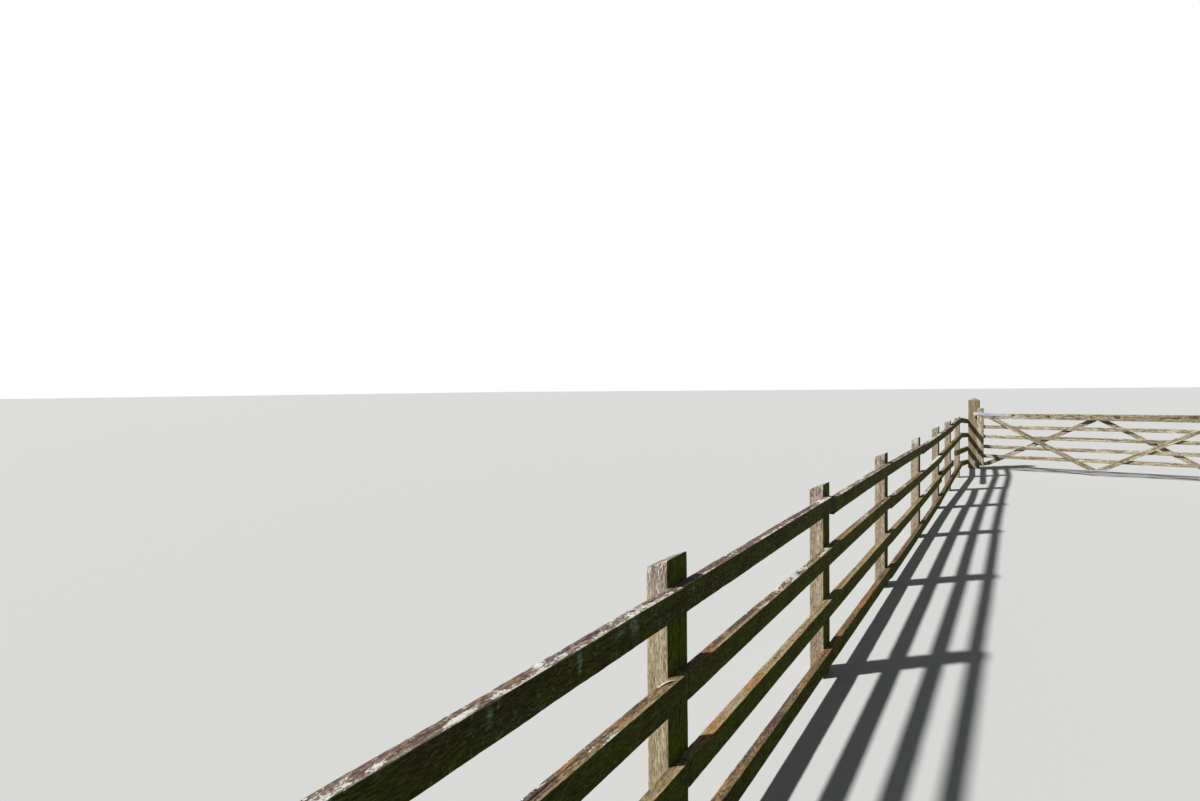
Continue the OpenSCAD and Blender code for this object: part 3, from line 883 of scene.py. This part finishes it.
def domed_head(bm, radius, rise):
    """Coach bolt's dome: half a ball flattened, on a short rim."""
    bmesh.ops.create_uvsphere(bm, u_segments=20, v_segments=12, radius=radius)
    cut = bmesh.ops.bisect_plane(bm, geom=bm.verts[:] + bm.edges[:] + bm.faces[:], dist=TINY / 10,
                                 plane_co=(0, 0, 0), plane_no=(0, 0, 1), clear_inner=True)
    bmesh.ops.scale(bm, vec=(1, 1, rise / radius), verts=bm.verts)
    rim = only(bmesh.types.BMEdge, cut["geom_cut"])
    under = bmesh.ops.extrude_edge_only(bm, edges=rim)["geom"]
    bmesh.ops.translate(bm, vec=(0, 0, -radius * 0.15), verts=only(bmesh.types.BMVert, under))
    bmesh.ops.contextual_create(bm, geom=only(bmesh.types.BMEdge, under))


def nut_and_washer(bm, across):
    """Round washer, bevelled square nut and the bolt's end standing through it."""
    flat = across / math.sqrt(2)
    height = across * 0.5
    washer = across * 0.75
    cone(bm, 4, flat, flat, height, height * 0.72)
    bmesh.ops.bevel(bm, geom=bm.edges[:], offset=across * 0.06, segments=2, profile=0.5, affect="EDGES",
                    material=-1, clamp_overlap=True)
    cone(bm, 20, washer, washer * 0.96, height * 0.22, height * 0.11)
    cone(bm, 14, across * 0.27, across * 0.23, height * 0.35, height * 1.395)


def splinter(bm, start, end, wide, lift):
    """Thin sliver of wood that has come up from a board: tapered, curved and still held at its start."""
    bmesh.ops.create_cube(bm, size=1.0)
    slice_faces(bm, 0, even(-0.5, 0.5, 0.05))
    slice_faces(bm, 1, [0.0])
    along = end - start
    side = Vector((0, 0, 1)).cross(along).normalized()
    for v in bm.verts:
        share, across, up = v.co.x + 0.5, v.co.y, v.co.z
        body = math.sin(math.pi * (0.12 + 0.86 * share)) ** 0.7
        bow = 0.05 * along.length * math.sin(math.pi * share)
        bow += 0.001 * wave(share * 6, 3.1, 0.0)
        ridge = 0.35 * (1 - abs(2 * across))
        height = lift * (math.sin(2.2 * share) - 0.15) + wide * 0.3 * body * (up + ridge)
        v.co = start + along * share + side * (bow + across * wide * body) + Vector((0, 0, height))


def own_place(bm):
    """Gives a piece without a board the coordinates that timber materials read."""
    grain, board = (bm.verts.layers.float_vector.new(name) for name in ("grain", "board"))
    for v in bm.verts:
        v[grain], v[board] = v.co, (0.0, 1.0, 1.0)


def forged_copy(node, body, tip=0.0):
    """Iron solid with rounded arrises and a faintly hammered skin. A tip rounds the corners of its -Y end."""
    bm = merged_copy(node)
    if tip:
        far = min(v.co.y for v in bm.verts) + 0.001
        soften(bm, [e for e in bm.edges if all(v.co.y < far for v in e.verts)
                    and abs(e.verts[0].co.z - e.verts[1].co.z) < 0.001], tip, 5)
    soften(bm, sharp_edges(bm, IRON_EDGE), IRON_ARRIS)
    for axis in range(3):
        places = [v.co[axis] for v in bm.verts]
        slice_faces(bm, axis, even(min(places), max(places), IRON_SLICE))
    bm.normal_update()
    for v in bm.verts:
        v.co -= v.normal * HAMMERED * (1 + wave(*(v.co * 90)))
    piece = to_object(bm, node + "_forged", body, [galvanised()], sharp=True)
    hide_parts(node)


# ---------------------------------------------------------------- where things meet


def posts():
    return [f"fence_post_{i}" for i in range(1, 9)]


def rails(row):
    return [f"row_{row}_rail_{i}" for i in range(1, 5)] + [f"row_{row}_gate_rail"]


# Rise of a rail's middle above the straight line between its ends, in metres
RAIL_BOWS = {"row_1_rail_1": -0.004, "row_1_rail_2": 0.008, "row_1_rail_3": -0.003, "row_1_rail_4": 0.006,
             "row_2_rail_2": 0.002, "row_2_rail_3": -0.009, "row_3_rail_3": -0.007, "row_3_rail_4": 0.01,
             "row_4_rail_3": -0.008}


def rail_nails():
    """Every nail as (rail, point, outward direction), worked out from where the rails cross the posts."""
    return [(rail, *nail) for row in range(1, 5) for rail in rails(row)
            for number, post in enumerate([*posts(), "hanging_post"])
            for nail in nails_between(rail, row, post, number)]


def nails_between(rail, row, post, number):
    """The two nails of one rail in one post, set on a slant that changes from post to post."""
    low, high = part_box(rail)
    p_low, p_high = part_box(post)
    corners = [v.co for v in NODES[rail].data.vertices]
    start, end = max(low.x, p_low.x), min(high.x, p_high.x)
    if end - start < LEAST_CROSSING:
        return
    out = 1 if post == "hanging_post" else -1
    slant = 0.32 * (end - start) * (0.8 if (row + number) % 2 else -0.8)
    for k in (-1, 1):
        x = (start + end) / 2 + k * slant
        share = (2 * x - low.x - high.x) / (high.x - low.x)
        z = rail_middle(corners, low, high, x) + k * bpy.context.scene.rail_sizes.nail_spread
        z += RAIL_BOWS.get(rail, 0.0) * (1 - share ** 2)
        wobble = 0.004 * math.sin(31.0 * x + 7.0 * row)
        yield Vector((x + wobble, high.y if out > 0 else low.y, z + wobble / 2)), Vector((0, out, 0))


def rail_middle(corners, low, high, x):
    """Height of a rail's middle line at x, also where the rail slopes."""
    reach = 0.02
    first = [c.z for c in corners if c.x < low.x + reach]
    last = [c.z for c in corners if c.x > high.x - reach]
    start, end = (min(first) + max(first)) / 2, (min(last) + max(last)) / 2
    return start + (end - start) * (x - low.x) / (high.x - low.x)


def band_bolts():
    """Middles of the bolts through the hinge band, which droops towards its far end."""
    band = [v.co for v in NODES["top_hinge_band"].data.vertices]
    stile_low, stile_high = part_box("heel_stile")
    far = min(c.y for c in band)
    ends = [[c.z for c in band if abs(c.y - y) < 0.001] for y in (far, stile_high.y)]
    first, last = ((min(heights) + max(heights)) / 2 for heights in ends)
    middle = (min(c.x for c in band) + max(c.x for c in band)) / 2
    reach = stile_high.y - far
    return [Vector((middle, y, first + (last - first) * (y - far) / reach))
            for y in ((stile_low.y + stile_high.y) / 2, stile_high.y - 0.52 * reach, far + 0.045)]


def braces():
    return [f"{side}_brace_{end}" for side in ("front", "back") for end in ("heel", "head")]


def gate_crossings():
    """Where braces cross the lower bars: (point on the brace's open face, outwards, along the brace)."""
    bars = [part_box(f"gate_bar_{i}") for i in range(2, 6)]
    found = []
    for node in braces():
        out = -1 if node.startswith("front") else 1
        low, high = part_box(node)
        bm = merged_copy(node)
        axes, half = own_axes(bm, False)
        bm.free()
        along = axes.to_3x3() @ Vector((1, 0, 0))
        for bar_low, bar_high in bars:
            reach = ((bar_low.z + bar_high.z) / 2 - axes.translation.z) / along.z
            if abs(reach) > half.x - BRACE_END:
                continue
            point = axes.translation + along * reach
            point.x = low.x if out < 0 else high.x
            found.append((point, Vector((out, 0, 0)), along))
    return found


# ---------------------------------------------------------------- operators


class FENCE_OT_posts(bpy.types.Operator):
    """Fence posts with sawn sloping tops, drying cracks and worn arrises"""
    bl_idname = "fence.posts"
    bl_label = "Fence posts"

    def execute(self, context):
        for i, node in enumerate(posts()):
            checks = [Check("-z", 0.018 - 0.013 * (i % 4), -0.5 + 0.11 * (i % 3), 0.5, 0.005),
                      Check("+y", 0.012 * (i % 3) - 0.012, -0.3, 0.53, 0.006)]
            crust = [Blotch("crust", "-y", 0.47, 0.0, 0.1, 0.12, 2.0)] if node == "fence_post_5" else ()
            look = "post_rosy" if i > 1 else "post"
            weathered_board(node, "fence", look, upright=True, checks=checks,
                            blotches=crust, seed=i)
        return {"FINISHED"}


def along_rail(node, x):
    """Place along a level rail's own X axis of a point x of the model."""
    low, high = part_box(node)
    return x - (low.x + high.x) / 2


def rail_blotches():
    """The patches on the rails: by rail, kind and face, their x, across, reach along and across, strength."""
    seen = {
        ("row_1_rail_1", "crust", "+z"): [(-13.15, -0.008, 0.05, 0.01), (-13.25, 0.0, 0.04, 0.012),
            (-12.985, -0.01, 0.04, 0.008), (-12.88, -0.004, 0.02, 0.008), (-12.735, 0.008, 0.022, 0.008),
            (-12.675, -0.006, 0.025, 0.007), (-12.56, -0.008, 0.055, 0.009), (-12.395, 0.0, 0.075, 0.017),
            (-12.26, -0.011, 0.04, 0.007), (-10.42, 0.0, 0.14, 0.02)],
        ("row_1_rail_1", "orange", "+z"): [(-12.812, 0.006, 0.02, 0.008, 0.8)],
        ("row_1_rail_1", "dark", "+z"): [(-12.53, 0.006, 0.03, 0.009), (-10.8, 0.0, 0.12, 0.012)],
        ("row_1_rail_1", "film", "-y"): [(-12.372, 0.018, 0.02, 0.022), (-12.912, 0.02, 0.006, 0.02),
            (-12.618, 0.016, 0.007, 0.026), (-12.44, 0.022, 0.022, 0.009), (-12.02, 0.02, 0.005, 0.02)],
        ("row_1_rail_2", "crust", "+z"): [(-9.95, -0.004, 0.16, 0.014), (-9.4, 0.004, 0.16, 0.012)],
        ("row_2_rail_1", "dark", "+z"): [(-12.76, 0.006, 0.045, 0.01)],
        ("row_2_rail_1", "orange", "+z"): [(-12.64, 0.012, 0.05, 0.008), (-12.4, 0.006, 0.03, 0.008)],
        ("row_2_rail_2", "orange", "+z"): [(-11.85, 0.002, 0.06, 0.015), (-9.85, 0.0, 0.1, 0.012)],
        ("row_2_rail_2", "crust", "+z"): [(-11.705, 0.008, 0.02, 0.008), (-11.3, -0.004, 0.16, 0.014),
            (-10.85, 0.0, 0.34, 0.016, 1.6), (-10.38, 0.0, 0.12, 0.02, 1.5),
            (-9.45, 0.0, 0.16, 0.012, 1.3)],
        ("row_2_rail_2", "dark", "+z"): [(-11.56, 0.004, 0.1, 0.008)],
        ("row_2_rail_3", "crust", "+z"): [(-8.2, 0.0, 0.12, 0.014, 1.5), (-7.7, 0.0, 0.12, 0.014, 1.5),
            (-6.05, 0.0, 0.5, 0.04, 2.6), (-5.2, 0.0, 0.5, 0.04, 2.6)],
        ("row_1_rail_3", "crust", "+z"): [(-5.6, 0.0, 0.4, 0.03, 1.6), (-4.9, 0.0, 0.3, 0.03, 1.6)],
        ("row_4_rail_2", "orange", "+z"): [(-10.0, 0.0, 0.34, 0.03, 0.8), (-9.3, 0.0, 0.3, 0.03, 0.8)],
        ("row_3_rail_2", "orange", "+z"): [(-11.85, 0.0, 0.07, 0.015), (-11.42, 0.0, 0.06, 0.015)],
        ("row_3_rail_2", "crust", "+z"): [(-11.5, 0.002, 0.015, 0.012)],
        ("row_3_rail_3", "crust", "+z"): [(-6.35, 0.0, 0.2, 0.03, 2.4), (-5.95, 0.0, 0.16, 0.024, 1.8)],
    }
    found = {}
    for (rail, kind, face), places in seen.items():
        for x, *rest in places:
            found.setdefault(rail, []).append(Blotch(kind, face, along_rail(rail, x), *rest))
    return found


class FENCE_OT_rails(bpy.types.Operator):
    """Four rows of nailed rails, the top row most worn"""
    bl_idname = "fence.rails"
    bl_label = "Rails"

    def execute(self, context):
        step, top_sag = context.scene.timber_sizes.near_slice, context.scene.rail_sizes.top_sag
        nails, blotches = rail_nails(), rail_blotches()
        for row in range(1, 5):
            wear, sag = (1.25, top_sag) if row == 1 else (0.9, top_sag / 2.5)
            for i, node in enumerate(rails(row)):
                at = [point for rail, point, out in nails if rail == node]
                checks = [Check("-y", 0.008 - 0.007 * ((i + row) % 4), -0.6 + 0.2 * (i % 3), 0.75, 0.0045),
                          Check("+z", 0.003 - 0.004 * (i % 3), -0.9 + 0.3 * ((i + row) % 3), 0.5, 0.004)]
                if node == "row_2_rail_1":
                    checks.append(Check("+z", 0.006, 0.77, 0.885, 0.004))
                weathered_board(node, "fence", f"rail_row_{row}", wear=wear, sag=sag,
                                checks=checks, nails=at, blotches=blotches.get(node, ()),
                                bow=RAIL_BOWS.get(node, 0.0), seed=10 * row + i, step=step)
        return {"FINISHED"}


class FENCE_OT_gateposts(bpy.types.Operator):
    """Hanging and shutting posts with weathered tops and deep drying cracks"""
    bl_idname = "fence.gateposts"
    bl_label = "Gateposts"

    def execute(self, context):
        for i, node in enumerate(("hanging_post", "shutting_post")):
            checks = [Check("-y", -0.02, -0.25, 0.6, 0.012), Check("-y", 0.045, -0.6, 0.1, 0.007),
                      Check("+z", 0.015, -0.5, 0.62, 0.012), Check("-z", -0.03, -0.4, 0.63, 0.01),
                      Check("+y", 0.01, -0.6, 0.4, 0.01)]
            weathered_board(node, "fence", "gatepost", upright=True, arris=0.006, wear=1.3,
                            checks=checks, seed=60 + i)
        return {"FINISHED"}


class FENCE_OT_nails(bpy.types.Operator):
    """Rusty nail heads where the rails cross the posts"""
    bl_idname = "fence.nails"
    bl_label = "Rail nails"

    def execute(self, context):
        places = [stand_on(point + out * STAND_OFF, out, 0.7 * k, 0.09 * math.sin(5.0 * k))
                  for k, (rail, point, out) in enumerate(rail_nails())]
        fasteners("rail_nails", "fence", "galvanised_iron", rusty_iron(),
                  [(nail_head, [context.scene.rail_sizes.nail_head], places)])
        return {"FINISHED"}


class FENCE_OT_splinter(bpy.types.Operator):
    """Long sliver that has come up from the second row by the second post"""
    bl_idname = "fence.splinter"
    bl_label = "Splinter"

    def execute(self, context):
        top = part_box("row_2_rail_1")[1].z
        bm = bmesh.new()
        splinter(bm, Vector((-12.192, 0.126, top - 0.001)), Vector((-12.124, 0.102, top - 0.001)),
                 context.scene.rail_sizes.splinter, 0.0045)
        own_place(bm)
        to_object(bm, "rail_splinter", "fence", [timber("sliver")])
        return {"FINISHED"}


class FENCE_OT_stiles(bpy.types.Operator):
    """Heel and head stiles of the gate with bevelled tops and mortises"""
    bl_idname = "fence.stiles"
    bl_label = "Gate stiles"

    def execute(self, context):
        heights = [sum(c.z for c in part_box(f"gate_bar_{i}")) / 2 for i in range(2, 6)]
        heights.append(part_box("gate_top_rail")[0].z + 0.035)
        places = []
        for i, (node, place) in enumerate((("heel_stile", 0.012), ("head_stile", -0.008))):
            checks = [Check("-y", place, 0.05, 0.52, 0.006), Check("+y", -place, -0.45, 0.1, 0.006)]
            weathered_board(node, "gate", "gate", upright=True, checks=checks, seed=70 + i)
            low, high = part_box(node)
            for z in heights:
                y = (low.y + high.y) / 2 + 0.006 * math.sin(9 * z)
                places += [stand_on(Vector((x, y, z)), (out, 0, 0), 7 * z)
                           for x, out in ((low.x, -1), (high.x, 1))]
        fasteners("gate_pegs", "gate", "gate_timber", timber("gate"),
                  [(peg, [context.scene.gate_sizes.peg], places)])
        return {"FINISHED"}


class FENCE_OT_bars(bpy.types.Operator):
    """Top rail, lower bars and braces of the gate"""
    bl_idname = "fence.bars"
    bl_label = "Gate bars and braces"

    def execute(self, context):
        low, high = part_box("gate_top_rail")
        middle, height = (low.y + high.y) / 2, (high.z + low.z) / 2
        knots = [Blotch("dark", "+y", y - middle, z - height, long, wide)
                 for y, z, long, wide in ((-0.63, 1.06, 0.03, 0.022), (-1.0, 1.075, 0.03, 0.012),
                                          (-1.15, 1.045, 0.036, 0.032), (-1.45, 1.06, 0.11, 0.012),
                                          (-1.755, 1.045, 0.016, 0.03), (-2.11, 1.04, 0.042, 0.022),
                                          (-2.8, 1.045, 0.16, 0.012), (-3.05, 1.06, 0.08, 0.016))]
        knots.append(Blotch("brown", "+y", -3.2 - middle, 0.0, 1.1, 0.2, 0.9))
        checks = [Check("+y", 0.012, -1.2, 0.4, 0.006), Check("+z", 0.0, -0.3, 1.3, 0.005)]
        weathered_board("gate_top_rail", "gate", "gate", wear=1.3, sag=0.002, seed=80,
                        blotches=knots, checks=checks)
        for i, node in enumerate([*(f"gate_bar_{k}" for k in range(2, 6)), *braces()]):
            checks = [Check("+y", 0.01 - 0.008 * (i % 3), -0.8 + 0.3 * (i % 4), 0.7, 0.003)]
            weathered_board(node, "gate", "gate", arris=0.0018, wear=0.7, checks=checks,
                            seed=81 + i)
        places = [stand_on(point + along * k + Vector((0, 0, 0.4 * k)) + out * STAND_OFF, out,
                           40 * point.z + k)
                  for point, out, along in gate_crossings() for k in (-PAIR, PAIR)]
        fasteners("gate_nails", "gate", "galvanised_iron", rusty_iron(),
                  [(nail_head, [context.scene.gate_sizes.clout], places)])
        return {"FINISHED"}


class FENCE_OT_ironwork(bpy.types.Operator):
    """Galvanised hinge band with its bolts, lower eye bolt, hooks, catch and keeper"""
    bl_idname = "fence.ironwork"
    bl_label = "Ironwork"

    def execute(self, context):
        sizes = context.scene.gate_sizes
        forged_copy("top_hinge_band", "gate", tip=0.018)
        for node, body in (("lower_hinge_eye", "gate"), ("gate_catch", "gate"), ("gate_hooks", "fence"),
                           ("catch_keeper", "fence")):
            forged_copy(node, body)
        places = band_bolts()
        band = NODES["top_hinge_band"].data.vertices
        front = min(v.co.x for v in band)
        rear = max(v.co.x for v in band if v.co.y < places[0].y)
        heads = [stand_on(Vector((front, p.y, p.z)), (-1, 0, 0)) for p in places]
        nuts = [stand_on(Vector((rear, p.y, p.z)), (1, 0, 0), 0.5 + p.y * 9) for p in places]
        bolts = [(domed_head, [sizes.bolt_head, BOLT_RISE], heads), (nut_and_washer, [sizes.nut], nuts)]
        fasteners("band_bolts", "gate", "galvanised_iron", galvanised(), bolts, sharp=True)
        low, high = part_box("catch_keeper")
        screws = [stand_on(Vector((high.x - 0.006, (low.y + high.y) / 2, z)), (-1, 0, 0))
                  for z in (low.z + 0.0055, high.z - 0.0055)]
        fasteners("keeper_screws", "fence", "galvanised_iron", galvanised(),
                  [(domed_head, [sizes.screw, SCREW_RISE], screws)], sharp=True)
        return {"FINISHED"}


class FENCE_OT_stage(bpy.types.Operator):
    """Pale floor, even light with one main lamp, and the camera"""
    bl_idname = "fence.stage"
    bl_label = "Stage"

    def execute(self, context):
        settings = context.scene.stage_settings
        self.lay_floor(settings)
        self.light(context.scene, settings)
        self.place_camera(context.scene, settings)
        return {"FINISHED"}

    def lay_floor(self, settings):
        bm = bmesh.new()
        bmesh.ops.create_grid(bm, x_segments=1, y_segments=1, size=FLOOR_REACH)
        n = MaterialNodes("pale_floor")
        shown = n.mix(self.direct_rays(n), settings.bounce, settings.floor)
        floor = new_object("floor", new_mesh(bm, "floor", [n.shade(shown, roughness=0.9, specular=0.1)]))

    def direct_rays(self, n):
        rays = n.add("ShaderNodeLightPath").outputs
        seen = n.math("MAXIMUM", rays["Is Camera Ray"], rays["Is Glossy Ray"])
        return n.math("MAXIMUM", seen, rays["Is Transmission Ray"])

    def light(self, scene, settings):
        scene.world = bpy.data.worlds.new("studio")
        scene.world.use_nodes = True
        n = Nodes(scene.world.node_tree)
        background = n.tree.nodes["Background"].inputs
        n.feed(background["Strength"], n.ramp(self.direct_rays(n), 0.0, 1.0, settings.fill, 1.0))
        n.feed(background["Color"], n.mix(self.direct_rays(n), settings.sky, (1.0, 1.0, 1.0)))
        lamp = bpy.data.lights.new("key", "SUN")
        lamp.energy, lamp.angle = settings.key, settings.key_angle
        key = new_object("key", lamp)
        key.rotation_mode = "QUATERNION"
        key.rotation_quaternion = Vector(KEY_FROM).to_track_quat("Z", "Y")

    def place_camera(self, scene, settings):
        ahead = Vector((math.cos(HEADING) * math.cos(PITCH), math.sin(HEADING) * math.cos(PITCH),
                        -math.sin(PITCH)))
        level = Vector((math.sin(HEADING), -math.cos(HEADING), 0.0))
        above = level.cross(ahead)
        right = math.cos(ROLL) * level + math.sin(ROLL) * above
        up = math.cos(ROLL) * above - math.sin(ROLL) * level
        data = bpy.data.cameras.new("camera")
        data.sensor_width, data.lens = 36.0, settings.lens
        data.clip_start, data.clip_end = 0.05, 1000.0
        turn = Matrix((right, up, -ahead)).transposed().to_4x4()
        scene.camera = new_object("camera", data)
        scene.camera.matrix_world = Matrix.Translation(CAMERA_AT) @ turn
        scene.view_settings.view_transform = "Standard"


OPERATORS = (FENCE_OT_stage, FENCE_OT_posts, FENCE_OT_rails, FENCE_OT_splinter, FENCE_OT_gateposts,
             FENCE_OT_nails, FENCE_OT_stiles, FENCE_OT_bars, FENCE_OT_ironwork)
SETTINGS = {"timber_sizes": TimberSizes, "rail_sizes": RailSizes, "gate_sizes": GateSizes,
            "timber_colours": TimberColours, "iron_colours": IronColours, "stage_settings": StageSettings}


class FENCE_PT_panel(bpy.types.Panel):
    """Lists the fence's operators and settings"""
    bl_label = "Timber fence and gate"
    bl_space_type = "VIEW_3D"
    bl_region_type = "UI"
    bl_category = "Timber fence"

    def draw(self, context):
        for operator in OPERATORS:
            self.layout.operator(operator.bl_idname)
        for name, kind in SETTINGS.items():
            box = self.layout.box()
            for key in kind.__annotations__:
                box.prop(getattr(context.scene, name), key)


def register():
    for cls in (*SETTINGS.values(), *OPERATORS, FENCE_PT_panel):
        bpy.utils.register_class(cls)
    for name, kind in SETTINGS.items():
        setattr(bpy.types.Scene, name, PointerProperty(type=kind))


def unregister():
    for name in SETTINGS:
        delattr(bpy.types.Scene, name)
    for cls in (FENCE_PT_panel, *reversed(OPERATORS), *reversed(list(SETTINGS.values()))):
        bpy.utils.unregister_class(cls)


def main():
    register()
    for operator in OPERATORS:
        group, name = operator.bl_idname.split(".")
        getattr(getattr(bpy.ops, group), name)()


if __name__ == "__main__":
    main()
